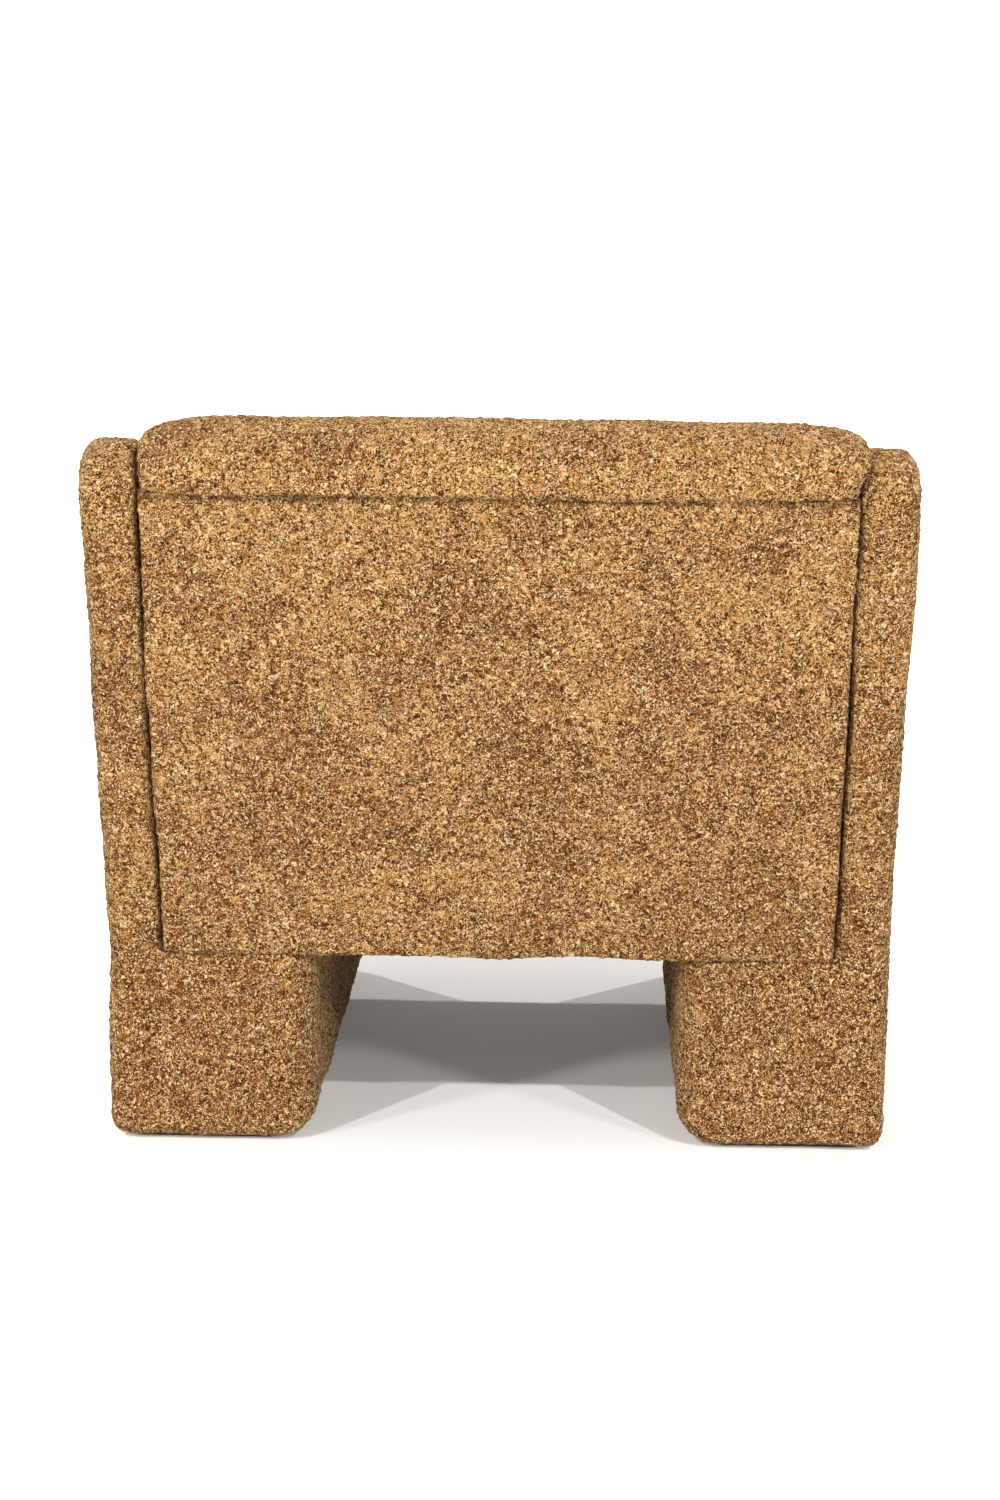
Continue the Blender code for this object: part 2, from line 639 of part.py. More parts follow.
def build_seat_cushion():
    """The seat's cover, foam and base cloth."""
    half = BACK_HALF_WIDTH
    low = SEAT_CUSHION[0]
    shape = extruded(rounded(seat_outline(0.0, low), SEAT_RADII), -half, half)
    cover = add_object("seat_cushion_cover", shape, "boucle")
    wall = SEAT_WALL
    hollow = rounded(seat_outline(wall, low - CUT_PAST), SEAT_HOLLOW_RADII)
    cut(cover, add_object("seat_cushion_cavity", extruded(hollow, -half + wall, half - wall), None))
    skin = wall + GAP
    block_half = half - skin
    block = rounded(seat_outline(skin, low + BASE_CLOTH + GAP), SEAT_HOLLOW_RADII)
    add_object("seat_foam", extruded(block, -block_half, block_half), "foam")
    front, rear = (corner[0] for corner in seat_outline(skin, low)[:2])
    cloth = box((-block_half, front, low), (block_half, rear, low + BASE_CLOTH))
    add_object("seat_base_cloth", cloth, "black_cloth")


def main():
    clear_scene()
    bolt_cutter = build_bolts()
    build_side("left", 1, bolt_cutter)
    build_side("right", -1, bolt_cutter)
    rake = raked_empty()
    build_back_frame(rake, bolt_cutter)
    build_back_covers(rake)
    build_seat_box(bolt_cutter)
    build_deck()
    build_pull_tab()
    build_seat_cushion()


main()
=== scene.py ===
"""Looks of the lounge armchair: looped fabric covers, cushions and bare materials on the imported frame."""

import itertools
import json
import math

import bmesh
import bpy
import numpy as np
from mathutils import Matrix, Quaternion, Vector


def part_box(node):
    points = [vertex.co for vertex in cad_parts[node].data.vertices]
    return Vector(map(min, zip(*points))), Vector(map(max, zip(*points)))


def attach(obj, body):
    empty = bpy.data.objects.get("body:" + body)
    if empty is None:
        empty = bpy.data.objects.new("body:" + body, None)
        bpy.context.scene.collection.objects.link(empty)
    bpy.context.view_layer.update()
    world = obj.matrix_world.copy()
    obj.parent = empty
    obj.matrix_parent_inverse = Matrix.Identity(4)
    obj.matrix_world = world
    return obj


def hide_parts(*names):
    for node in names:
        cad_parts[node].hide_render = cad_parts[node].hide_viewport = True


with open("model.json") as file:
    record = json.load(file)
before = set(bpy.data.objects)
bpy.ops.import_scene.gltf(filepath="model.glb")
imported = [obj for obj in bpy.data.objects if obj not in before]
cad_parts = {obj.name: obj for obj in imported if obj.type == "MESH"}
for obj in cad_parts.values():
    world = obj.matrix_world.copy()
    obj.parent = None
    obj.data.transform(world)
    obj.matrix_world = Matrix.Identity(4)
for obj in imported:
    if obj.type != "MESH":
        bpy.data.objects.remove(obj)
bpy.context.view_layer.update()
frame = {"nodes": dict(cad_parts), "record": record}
scene = bpy.context.scene

# Places read from the frame
SIDE_LOW, SIDE_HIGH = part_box("left_side_cover")
PANEL_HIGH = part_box("outside_back_cover")[1]
CUSHION_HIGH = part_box("back_cushion_cover")[1]
SEAT_LOW, SEAT_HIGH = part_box("seat_cushion_cover")
APRON_LOW, APRON_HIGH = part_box("front_apron_cover")
FRONT_PLANE = SIDE_LOW.y
FOOT_INNER = SIDE_LOW.x
HALF_WIDTH = SIDE_HIGH.x

# The frame's driving dimensions that its boxes do not give
RAKE = math.radians(16.5)
REAR_PLANE = FRONT_PLANE + 0.700
FOOT_TOP = 0.199
SIDE_THICKNESS = 0.055
INNER_FACE = HALF_WIDTH - SIDE_THICKNESS
SIDE_TOP = 0.7227
ARM_FRONT_TOP = 0.570
BACK_THICKNESS = 0.150
SEAM_RISE = 0.487
CUSHION_FOOT_RISE = 0.070

# Camera: focal length and the frame's long side in mm, place and aim
LENS = 70.8
SENSOR = 36.0
CAMERA_PLACE = (-0.0802, REAR_PLANE + 2.8467, 0.9339)
CAMERA_YAW = math.radians(1.60)
CAMERA_PITCH = math.radians(10.48)
CAMERA_ROLL = math.radians(0.55)

# Studio lamps: name, azimuth from the rear of the chair, elevation, width in degrees, strength
STUDIO_LAMPS = [
    ("lamp_rear_left", 32, 37, 1.6, 1.20),
    ("lamp_rear_right", -32, 37, 1.6, 1.20),
    ("lamp_front_left", 135, 43, 1.6, 1.10),
    ("lamp_front_right", -135, 43, 1.6, 1.10),
    ("lamp_low_left", 45, 21, 7.0, 1.15),
    ("lamp_low_right", -45, 21, 7.0, 0.90),
]
LAMP_DISTANCE = 4.0

# Strength of the white walls, by the sine of the elevation
WALL_LIGHT = {"From Min": 0.0, "From Max": 0.55, "To Min": 1.75, "To Max": 0.30}

# The floor: its size and colour, its glow near the chair and away from it, and where the glow rises
FLOOR_SIZE = 40.0
FLOOR_WHITE = (0.93, 0.92, 0.905, 1.0)
FLOOR_TINT = (1.0, 0.96, 0.86, 1.0)
FLOOR_GLOW = {"To Min": 0.070, "To Max": 0.62}
FADE_SIDEWAYS = {"From Min": 0.30, "From Max": 0.62}
FADE_BEHIND = {"From Min": REAR_PLANE - 0.08, "From Max": REAR_PLANE + 0.36}
FADE_BEFORE = {"From Min": FRONT_PLANE - 0.50, "From Max": FRONT_PLANE - 1.00}

# The yarn: lumps that stand out of the cloth, the cloth's own slow unevenness, its loops' colours, and the
# dark brown of the painted shade in its hollows
LUMP_SIZE = 0.0062
LUMP_HEIGHT = 0.0021
LUMP_LEAST = 0.55       # the lowest lump's height, as a share, and how much more the highest has
LUMP_SPREAD = 0.9
LUMP_MIDDLE = 0.45      # the share that stays at the cover's own surface
SLACK_HEIGHT = 0.0012
SLACK_LENGTH = 0.13
LOOPS_PER_METRE = 250.0
OCHRE_YARN = [(0.00, (0.405, 0.160, 0.031)), (1.00, (0.740, 0.388, 0.117))]
RUST_YARN = [(0.00, (0.155, 0.040, 0.003)), (1.00, (0.400, 0.147, 0.025))]
CREAM_YARN_AND_HIGHLIGHT = (0.850, 0.650, 0.350)
HOLLOW_SHADE = (0.044, 0.013, 0.002)

# The yarn's mixing: what share of rust, cream or dark brown a place takes, from noise or height. The rust
# share by height is painted shade, darker towards the bottom; cream on the relief's tops is cream yarn and
# painted highlight; dark brown in the hollows, between the lumps and in the seam is painted shade
PAINTED_SHADE_BY_HEIGHT = {"From Min": 0.75, "From Max": 0.0, "To Min": -0.05, "To Max": 0.15}
RUST_BY_PATCH = {"From Min": 0.41, "From Max": 0.61, "To Min": 0.0, "To Max": 0.95}
RUST_EDGE = {"From Min": -0.25, "From Max": 0.25}
CREAM_AND_HIGHLIGHT_BY_RELIEF = {"From Min": 0.545, "From Max": 0.585, "To Max": 0.95}
SHADE_BY_RELIEF = {"From Min": 0.475, "From Max": 0.440, "To Max": 0.98}
SHADE_BY_LUMP = {"From Min": 0.0, "From Max": 0.30, "To Min": 0.35, "To Max": 0.0}
SHADE_IN_SEAM = 0.60
CURL_SHARE = 0.72
STRAND_SHARE = 0.28
LOOP_BEND = 0.0090

# The other materials: dark and light tints, or (place, colour) stops along a noise
PLYWOOD_TINTS = ((0.42, 0.27, 0.13), (0.68, 0.51, 0.31))
TIMBER_TINTS = ((0.36, 0.20, 0.09), (0.62, 0.43, 0.24))
HARDBOARD_TINTS = ((0.12, 0.065, 0.032), (0.24, 0.14, 0.075))
DUST_CLOTH_TINTS = ((0.010, 0.010, 0.011), (0.032, 0.032, 0.034))
WEBBING_TINTS = ((0.018, 0.018, 0.018), (0.075, 0.072, 0.068))
LINING_TINTS = ((0.20, 0.165, 0.125), (0.40, 0.345, 0.27))
FOAM_TINTS = [(0.35, (0.80, 0.74, 0.55)), (0.65, (0.90, 0.86, 0.72))]
PLASTIC_TINTS = [(0.40, (0.012, 0.012, 0.013)), (0.75, (0.035, 0.034, 0.033))]
ZINC_TINTS = [(0.35, (0.50, 0.50, 0.49)), (0.65, (0.70, 0.69, 0.64))]
GRAIN_STRETCH = 0.12
PLY_SHARE = 0.22
PORE_SHARE = 0.35
THREAD_SHARE = 0.7
DUST_SHARE = 0.3

# Cloth simulation of the cushions
CLOTH_FRAMES = 20
CLOTH_SETTINGS = {
    "quality": 4,
    "tension_stiffness": 12,
    "compression_stiffness": 12,
    "bending_stiffness": 0.4,
    "use_pressure": True,
    "uniform_pressure_force": 4.0,
}

# Sides: corner radii of the upper panel, how far the edges are rounded, and how full the faces stand
REAR_TOP_RADIUS = 0.045
ARM_FRONT_RADIUS = 0.070
SIDE_ROUNDING = 0.037
FOOT_EDGE = 1.0         # shares of the rounding above
INNER_EDGE = 0.25
OUTER_EDGE = 0.50
OTHER_EDGE = 0.40
SIDE_CROWN = 0.0040
INNER_CROWN = SIDE_CROWN * 0.6
STRIP_CROWN = 0.0015
TOP_FULLNESS = 0.0030

# Outside back panel
PANEL_OVERHANG = 0.0012     # its edges stand this far past the CAD panel's, over the gaps beside it
PANEL_FRONT = -0.0115
PANEL_REAR = 0.0050
PANEL_FOOT_RISE = -0.0010
SEAM_LAP = 0.0030           # the roll and the panel below it overlap by this much each
ROLL_SEAM_WIDTH = 0.0028
ROLL_SEAM_DEPTH = 0.0038
ROLL_SEAM_EVEN = 0.8        # shares of the depth: the same all along, and wavering over this length
ROLL_SEAM_WAVER = 0.35
ROLL_SEAM_LENGTH = 0.02

# Back cushion: an outline in (depth, rise), with the radius of each corner and how much smaller it gets at
# the ends, and how far each edge, from this corner to the next, draws in there
ROLL_LOW = SEAM_RISE - SEAM_LAP
FACE_DEPTH = -BACK_THICKNESS + 0.010
HOOK_DEPTH = -0.0650
CUSHION_OUTLINE = [
    (0.0055, ROLL_LOW),
    (0.0075, 0.570),
    (FACE_DEPTH, 0.505),
    (FACE_DEPTH, CUSHION_FOOT_RISE),
    (HOOK_DEPTH, CUSHION_FOOT_RISE),
    (HOOK_DEPTH, ROLL_LOW),
]
CUSHION_RADII = [(0.005, 0.0), (0.046, 0.020), (0.062, 0.020), (0.022, 0.0), (0.010, 0.0), (0.002, 0.0)]
CUSHION_INSETS = (0.009, 0.025, 0.022, 0.004, 0.0, 0.0)
END_LENGTH = 0.070          # over which the roll falls away towards its ends
END_CORNER = 0.018          # the tighter rounding of the ends themselves
END_STEPS = 12
END_FADE = (0.26, 0.325)
ROLL_BULGE = 0.0120         # at the end that stands over the side
ROLL_LEAN = 0.004           # how far that end also stands out to the rear
ROLL_PRESS = 0.0040         # at the other end
ROLL_CROWN = 0.0020
FACE_SWELL = 0.014          # how far the cloth may swell: on the face, elsewhere, and less at the rear
OTHER_SWELL = 0.0045
REAR_HOLD = 0.0025

# Seat cushion: corner radii from low front round to high front, room for swelling, seams
SEAT_RADII = [0.014, 0.012, 0.026, 0.034]
SEAT_BACK_GAP = 0.008
SEAT_FRONT_ROOM = 0.008
SEAT_TOP_ROOM = 0.014
SEAT_FALL = 0.006           # the top falls this much to the rear
SEAT_ROUNDING = 0.022
SEAT_SWELL = 0.0225
SEAT_REST = 0.0005
SEAT_SEAMS = (0.020, 0.026)     # above the bottom and below the top
SEAM_WIDTH = 0.0035
SEAM_DEPTH = 0.0035

# Numbers of the repeatable random fields
LATTICE_PRIMES = np.array([73856093, 19349663, 83492791])
SALT_PRIME = 7919
HASH_STEPS = ((16, 0x7FEB352D), (15, 0x846CA68B))
HASH_LAST_SHIFT = 16
WAVE_COUNT = 7
WAVE_LENGTHS = (0.7, 1.5)
WAVE_SCALE = 3.0

# Places closer than this, in metres, count as the same
NEAR = 1e-4


# ---------------------------------------------------------------- shapes


def rounded(corners, radii, steps):
    """Replaces each corner of a closed outline by an arc of its radius."""
    points = []
    count = len(corners)
    for index, radius in enumerate(radii):
        here = Vector(corners[index])
        if radius == 0:
            points.append(tuple(here))
            continue
        before = (Vector(corners[index - 1]) - here).normalized()
        after = (Vector(corners[(index + 1) % count]) - here).normalized()
        half = before.angle(after) / 2
        centre = here + (before + after).normalized() * (radius / math.sin(half))
        first = here + before * (radius / math.tan(half)) - centre
        last = here + after * (radius / math.tan(half)) - centre
        for step in range(steps + 1):
            way = first.slerp(last, step / steps).normalized()
            points.append(tuple(centre + way * radius))
    return points


def lofted(stations):
    """A closed form along X through stations of (x, outline). All outlines have as many (y, z) points."""
    target = bmesh.new()
    rings = [[target.verts.new((x, *point)) for point in outline] for x, outline in stations]
    target.faces.new(rings[0])
    target.faces.new(list(reversed(rings[-1])))
    for near, far in zip(rings, rings[1:]):
        for index in range(len(near)):
            after = (index + 1) % len(near)
            target.faces.new((near[index], far[index], far[after], near[after]))
    return target


def box(low, high):
    """A box between two corners."""
    target = bmesh.new()
    made = bmesh.ops.create_cube(target, size=1.0)
    bmesh.ops.scale(target, vec=Vector(high) - Vector(low), verts=made["verts"])
    bmesh.ops.translate(target, vec=(Vector(high) + Vector(low)) / 2, verts=made["verts"])
    return target


def raked(depth, rise):
    """(y, z) of a point given by its depth and rise in the back's raked frame."""
    y = REAR_PLANE + rise * math.sin(RAKE) + depth * math.cos(RAKE)
    z = FOOT_TOP + rise * math.cos(RAKE) - depth * math.sin(RAKE)
    return y, z


def lean_back(target):
    """Turns geometry made upright in the back's frame (x, depth, rise) into its raked place."""
    for vert in target.verts:
        vert.co.y, vert.co.z = raked(vert.co.y, vert.co.z)
    return target


def mesh_object(name, target):
    bmesh.ops.recalc_face_normals(target, faces=target.faces)
    mesh = bpy.data.meshes.new(name)
    target.to_mesh(mesh)
    target.free()
    obj = bpy.data.objects.new(name, mesh)
    scene.collection.objects.link(obj)
    return obj


def apply_modifiers(obj):
    """Replaces an object's mesh by what its modifiers make of it."""
    graph = bpy.context.evaluated_depsgraph_get()
    mesh = bpy.data.meshes.new_from_object(obj.evaluated_get(graph))
    old = obj.data
    obj.modifiers.clear()
    obj.data = mesh
    bpy.data.meshes.remove(old)


def round_edges(obj, width, segments, weight_of=None):
    """Rounds an object's sharp edges. weight_of gives an edge's share of the width from its two ends."""
    mesh = obj.data
    modifier = obj.modifiers.new("round", "BEVEL")
    modifier.width = width
    modifier.segments = segments
    if weight_of is None:
        modifier.limit_method = "ANGLE"
        modifier.angle_limit = math.radians(40)
    else:
        modifier.limit_method = "WEIGHT"
        layer = mesh.attributes.new("bevel_weight_edge", "FLOAT", "EDGE")
        for edge in mesh.edges:
            ends = [mesh.vertices[index].co for index in edge.vertices]
            layer.data[edge.index].value = weight_of(*ends)
    apply_modifiers(obj)


def remesh_evenly(obj, size, smoothing=0):
    """Lays an even net of quads over a closed solid and smooths its steps this many times."""
    remesh = obj.modifiers.new("remesh", "REMESH")
    remesh.mode = "VOXEL"
    remesh.voxel_size = size
    if smoothing:
        smooth = obj.modifiers.new("smooth", "SMOOTH")
        smooth.factor = 0.5
        smooth.iterations = smoothing
    apply_modifiers(obj)


# ---------------------------------------------------------------- moving points


def triples_of(items, key):
    values = np.empty(len(items) * 3, np.float32)
    items.foreach_get(key, values)
    return values.reshape(-1, 3).astype(float)


def points_of(obj):
    return triples_of(obj.data.vertices, "co")


def normals_of(obj):
    return triples_of(obj.data.vertex_normals, "vector")


def move_points(obj, points):
    obj.data.vertices.foreach_set("co", points.astype(np.float32).ravel())
    obj.data.update()


def store_values(obj, name, values):
    """Keeps one number for each point of a mesh, for its material to read."""
    layer = obj.data.attributes.new(name, "FLOAT", "POINT")
    layer.data.foreach_set("value", values.astype(np.float32))


def lattice_random(cells, salt):
    """One repeatable number from 0 to 1 for every cell of a whole-number lattice."""
    key = (cells * LATTICE_PRIMES).sum(axis=1) + salt * SALT_PRIME
    key = (key & 0xFFFFFFFF).astype(np.uint32)
    for shift, factor in HASH_STEPS:
        key ^= key >> np.uint32(shift)
        key *= np.uint32(factor)
    key ^= key >> np.uint32(HASH_LAST_SHIFT)
    return key / 2.0**32


def lumps_at(points, size, salt):
    """Each point's distance to the nearest lump's middle, in lumps, and that lump's random number."""
    scaled = points / size
    base = np.floor(scaled).astype(np.int64)
    nearest = np.full(len(points), np.inf)
    owner = np.zeros(len(points))
    for shift in itertools.product((-1, 0, 1), repeat=3):
        cell = base + np.array(shift)
        middle = cell + np.stack([lattice_random(cell, salt + axis) for axis in range(3)], axis=1)
        distance = np.linalg.norm(middle - scaled, axis=1)
        closer = distance < nearest
        owner = np.where(closer, lattice_random(cell, salt + 3), owner)
        nearest = np.minimum(nearest, distance)
    return nearest, owner


def wander(points, wavelength, seed):
    """A smooth random field of about -1 to 1, from a few crossing waves."""
    random = np.random.default_rng(seed)
    total = np.zeros(len(points))
    for _ in range(WAVE_COUNT):
        direction = random.normal(size=3)
        direction /= np.linalg.norm(direction)
        length = wavelength * random.uniform(*WAVE_LENGTHS)
        total += np.sin(points @ direction * (2 * math.pi / length) + random.uniform(0, 2 * math.pi))
    return total / WAVE_SCALE


def smooth_step(values, start, end):
    share = np.clip((values - start) / (end - start), 0, 1)
    return share * share * (3 - 2 * share)


def swell(obj, size, caps_of):
    """Lets a closed cover swell like a filled cushion. caps_of gives how far each point may move."""
    remesh_evenly(obj, size)
    before = points_of(obj)
    settings = obj.modifiers.new("swell", "CLOTH").settings
    for key, value in CLOTH_SETTINGS.items():
        setattr(settings, key, value)
    settings.effector_weights.gravity = 0
    for number in range(1, CLOTH_FRAMES + 1):
        scene.frame_set(number)
    apply_modifiers(obj)
    scene.frame_set(1)
    move = points_of(obj) - before
    length = np.linalg.norm(move, axis=1)
    caps = caps_of(before)
    share = caps * np.tanh(length / np.maximum(caps, 1e-6)) / np.maximum(length, 1e-9)
    move_points(obj, before + move * share[:, None])


def raise_loops(obj, seed):
    """Gives a cover the lumps of its looped yarn, and keeps each point's height for the material, which
    paints shade where it is low.
    """
    points = points_of(obj)
    normals = normals_of(obj)
    distance, owner = lumps_at(points, LUMP_SIZE, seed)
    height = np.clip(1.0 - distance, 0, 1) * (LUMP_LEAST + LUMP_SPREAD * owner)
    move = LUMP_HEIGHT * (height - LUMP_MIDDLE) + SLACK_HEIGHT * wander(points, SLACK_LENGTH, seed)
    move_points(obj, points + normals * move[:, None])
    store_values(obj, "pile", height)


# ---------------------------------------------------------------- materials


def new_material(name):
    """A material, its Principled shader, a function that adds a node and one that links into the shader."""
    material = bpy.data.materials.new(name)
    material.use_nodes = True
    tree = material.node_tree
    shader = tree.nodes["Principled BSDF"]

    def node(kind, values=None, links=None, **settings):
        made = tree.nodes.new("ShaderNode" + kind)
        for key, value in settings.items():
            setattr(made, key, value)
        for key, value in (values or {}).items():
            made.inputs[key].default_value = value
        for key, source in (links or {}).items():
            tree.links.new(source, made.inputs[key])
        return made

    def link(source, socket):
        tree.links.new(source, shader.inputs[socket])

    return material, shader, node, link


def ramp_of(node, source, stops):
    """A colour ramp through (place, colour) stops, fed by source."""
    ramp = node("ValToRGB", links={"Fac": source})
    elements = ramp.color_ramp.elements
    while len(elements) < len(stops):
        elements.new(0.5)
    for element, (place, colour) in zip(elements, stops):
        element.position = place
        element.color = (*colour, 1.0)
    return ramp.outputs["Color"]


def mixed(node, share, first, second):
    """Mixes two colours, each a socket or a constant."""
    made = node("Mix", data_type="RGBA")
    tree = made.id_data
    for index, value in ((0, share), (6, first), (7, second)):
        if isinstance(value, bpy.types.NodeSocket):
            tree.links.new(value, made.inputs[index])
        elif index == 0:
            made.inputs[index].default_value = value
        else:
            made.inputs[index].default_value = (*value, 1.0)
    return made.outputs[2]


def math_of(node, operation, first, second=0.5, clamp=False):
    """A math node of two values, each a socket or a number."""
    made = node("Math", operation=operation, use_clamp=clamp)
    tree = made.id_data
    for index, value in ((0, first), (1, second)):
        if isinstance(value, bpy.types.NodeSocket):
            tree.links.new(value, made.inputs[index])
        else:
            made.inputs[index].default_value = value
    return made.outputs[0]


def mapped(node, scale=(1, 1, 1)):
    """Places on the object, in metres times this scale."""
    coordinates = node("TexCoord")
    return node("Mapping", {"Scale": scale}, {"Vector": coordinates.outputs["Object"]}).outputs["Vector"]


def noise(node, place, scale, detail, roughness=0.5, distortion=0.0):
    values = {"Scale": scale, "Detail": detail, "Roughness": roughness, "Distortion": distortion}
    return node("TexNoise", values, {"Vector": place}).outputs["Fac"]


def bumped(node, link, height, strength, distance):
    """Raises a material's surface by a height from 0 to 1."""
    bump = node("Bump", {"Strength": strength, "Distance": distance}, {"Height": height})
    link(bump.outputs["Normal"], "Normal")


def roughened(node, link, share, low, high):
    """Varies a material's roughness between two values."""
    rough = node("MapRange", {"To Min": low, "To Max": high}, {"Value": share})
    link(rough.outputs[0], "Roughness")


def boucle_loops(node, place):
    """The random colour of each yarn loop, with the loops bent out of round by a fine noise."""
    drift = node("TexNoise", {"Scale": 400.0, "Detail": 3.0, "Roughness": 0.65}, {"Vector": place})
    centred = node("VectorMath", {1: (0.5, 0.5, 0.5)}, {0: drift.outputs["Color"]}, operation="SUBTRACT")
    links = {0: centred.outputs[0], 2: place}
    bent = node("VectorMath", {1: (LOOP_BEND, LOOP_BEND, LOOP_BEND)}, links, operation="MULTIPLY_ADD")
    loop = node("TexVoronoi", {"Scale": LOOPS_PER_METRE}, {"Vector": bent.outputs[0]})
    return node("SeparateColor", links={"Color": loop.outputs["Color"]}).outputs


def boucle_material():
    """Looped melange yarn: ochre loops with rust ones in clusters and cream slivers, with painted highlights
    on the relief's tops, painted shade in the hollows, between the lumps and in the seam, and rustier
    painted shade towards the bottom.
    """
    material, shader, node, link = new_material("boucle_cloth")
    place = mapped(node)
    shade, chance = boucle_loops(node, place)[:2]
    curl = noise(node, place, scale=310.0, detail=1.5, distortion=1.8)
    strand = noise(node, place, scale=640.0, detail=1.5, roughness=0.6, distortion=1.2)
    relief = math_of(node, "ADD", math_of(node, "MULTIPLY", curl, CURL_SHARE),
                     math_of(node, "MULTIPLY", strand, STRAND_SHARE))

    patches = noise(node, place, scale=12.0, detail=6.0, roughness=0.70)
    height = node("SeparateXYZ", links={0: place}).outputs[2]
    # painted shade: the cloth turns rustier and darker towards the bottom, in place of the lamps' falloff
    painted_falloff = node("MapRange", PAINTED_SHADE_BY_HEIGHT, {"Value": height})
    patches_and_shade = math_of(node, "ADD", patches, painted_falloff.outputs[0])
    odds = node("MapRange", RUST_BY_PATCH, {"Value": patches_and_shade})
    rust_and_shade = node("MapRange", RUST_EDGE, {"Value": math_of(node, "SUBTRACT", odds.outputs[0], chance)})
    ochre = ramp_of(node, shade, OCHRE_YARN)
    rust = ramp_of(node, shade, RUST_YARN)
    colour = mixed(node, rust_and_shade.outputs[0], ochre, rust)

    # cream yarn, and painted highlight, on the tops of the relief
    cream_and_highlight = node("MapRange", CREAM_AND_HIGHLIGHT_BY_RELIEF, {"Value": relief})
    colour = mixed(node, cream_and_highlight.outputs[0], colour, CREAM_YARN_AND_HIGHLIGHT)
    # painted shade in the hollows between the loops
    hollow_shade = node("MapRange", SHADE_BY_RELIEF, {"Value": relief})
    pile = node("Attribute", attribute_name="pile").outputs["Fac"]
    # painted shade between the lumps, where the pile is low
    lump_shade = node("MapRange", SHADE_BY_LUMP, {"Value": pile})
    seam = node("Attribute", attribute_name="seam").outputs["Fac"]
    # painted shade along the seam crease
    seam_shade = math_of(node, "MULTIPLY", seam, SHADE_IN_SEAM)
    # all the painted shade together: hollows, low lumps and the seam
    dark = math_of(node, "ADD", hollow_shade.outputs[0], lump_shade.outputs[0])
    dark = math_of(node, "ADD", dark, seam_shade, clamp=True)
    link(mixed(node, dark, colour, HOLLOW_SHADE), "Base Color")

    shader.inputs["Roughness"].default_value = 0.93
    shader.inputs["Specular IOR Level"].default_value = 0.08
    shader.inputs["Sheen Weight"].default_value = 0.06
    shader.inputs["Sheen Roughness"].default_value = 0.45
    shader.inputs["Sheen Tint"].default_value = (1.0, 0.82, 0.58, 1.0)
    bumped(node, link, relief, strength=1.0, distance=0.0085)
    return material


def wood_material(name, dark, light, ring_scale, plies=False):
    """Bare timber with long grain, or plywood whose edges show their plies."""
    material, _, node, link = new_material(name)
    stretched = mapped(node, (ring_scale, ring_scale * GRAIN_STRETCH, ring_scale))
    grain = noise(node, stretched, scale=1.0, detail=6.0, roughness=0.65, distortion=0.6)
    pore = noise(node, stretched, scale=12.0, detail=3.0)
    colour = ramp_of(node, grain, [(0.30, dark), (0.55, light), (0.75, dark)])
    if plies:
        values = {"Scale": 110.0, "Distortion": 0.3, "Detail": 1.0}
        layers = node("TexWave", values, {"Vector": mapped(node)}, wave_type="BANDS", bands_direction="Z")
        colour = mixed(node, math_of(node, "MULTIPLY", layers.outputs["Fac"], PLY_SHARE), colour, dark)
    colour = mixed(node, math_of(node, "MULTIPLY", pore, PORE_SHARE), colour, dark)
    link(colour, "Base Color")
    roughened(node, link, grain, low=0.48, high=0.72)
    bumped(node, link, pore, strength=0.35, distance=0.0006)
    return material


def woven_material(name, first, second, pitch, depth):
    """A plain weave, seen the same on every side. The pitch sets how far apart its threads are."""
    material, shader, node, link = new_material(name)
    place = mapped(node)
    values = {"Scale": 0.5 / pitch, "Distortion": 0.4, "Detail": 1.0}
    height = 1.0
    for direction in ("X", "Y", "Z"):
        wave = node("TexWave", values, {"Vector": place}, wave_type="BANDS", bands_direction=direction)
        height = math_of(node, "MULTIPLY", wave.outputs["Fac"], height)
    height = math_of(node, "POWER", height, 0.35)
    dust = noise(node, place, scale=40.0, detail=4.0)
    share = math_of(node, "ADD", math_of(node, "MULTIPLY", height, THREAD_SHARE),
                    math_of(node, "MULTIPLY", dust, DUST_SHARE))
    link(mixed(node, share, first, second), "Base Color")
    shader.inputs["Roughness"].default_value = 0.85
    bumped(node, link, height, strength=0.6, distance=depth)
    return material


def foam_material():
    material, shader, node, link = new_material("foam_block")
    place = mapped(node)
    cells = node("TexVoronoi", {"Scale": 700.0}, {"Vector": place})
    link(ramp_of(node, noise(node, place, scale=9.0, detail=3.0), FOAM_TINTS), "Base Color")
    shader.inputs["Roughness"].default_value = 0.95
    bumped(node, link, cells.outputs["Distance"], strength=0.5, distance=0.0008)
    return material


def plastic_material():
    material, _, node, link = new_material("moulded_black")
    place = mapped(node)
    scuff = noise(node, place, scale=30.0, detail=6.0, roughness=0.7)
    skin = noise(node, place, scale=900.0, detail=2.0)
    link(ramp_of(node, scuff, PLASTIC_TINTS), "Base Color")
    roughened(node, link, scuff, low=0.38, high=0.62)
    bumped(node, link, skin, strength=0.25, distance=0.0003)
    return material


def steel_material():
    material, shader, node, link = new_material("zinc_plated")
    tarnish = noise(node, mapped(node), scale=160.0, detail=5.0)
    link(ramp_of(node, tarnish, ZINC_TINTS), "Base Color")
    shader.inputs["Metallic"].default_value = 1.0
    roughened(node, link, tarnish, low=0.25, high=0.50)
    return material


